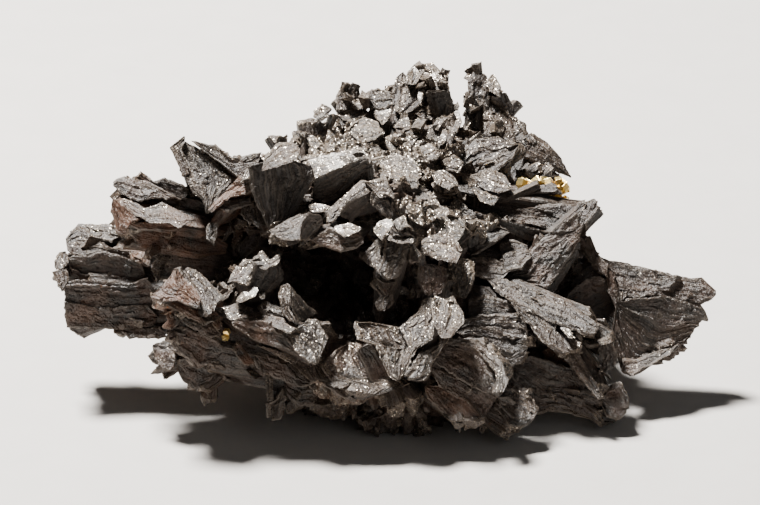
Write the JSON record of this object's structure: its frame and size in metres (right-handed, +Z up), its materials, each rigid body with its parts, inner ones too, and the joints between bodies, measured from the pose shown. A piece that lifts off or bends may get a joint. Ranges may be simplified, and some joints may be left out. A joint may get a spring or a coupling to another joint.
{
  "type": "enargite mineral specimen",
  "caption": "Intergrown cluster of fan-shaped, striated enargite blades around an open cavity, with small grains of pyrite.",
  "frame": {"origin": "the middle of the specimen's bounding box, on the flat underside that it rests on", "axes": "+X along the specimen's length, to the right seen from its display side; +Z up; the display side faces -Y and up"},
  "size_m": [0.0674, 0.042, 0.0271],
  "materials": {
    "enargite": "dark grey, metallic to dull, striated along the blades and rough on their ends, with brown stains",
    "pyrite": "bright brassy metallic"
  },
  "bodies": {
    "root": {"enargite_cluster": "enargite", "pyrite_cluster": "pyrite", "pyrite_grain": "pyrite"}
  },
  "joints": []
}
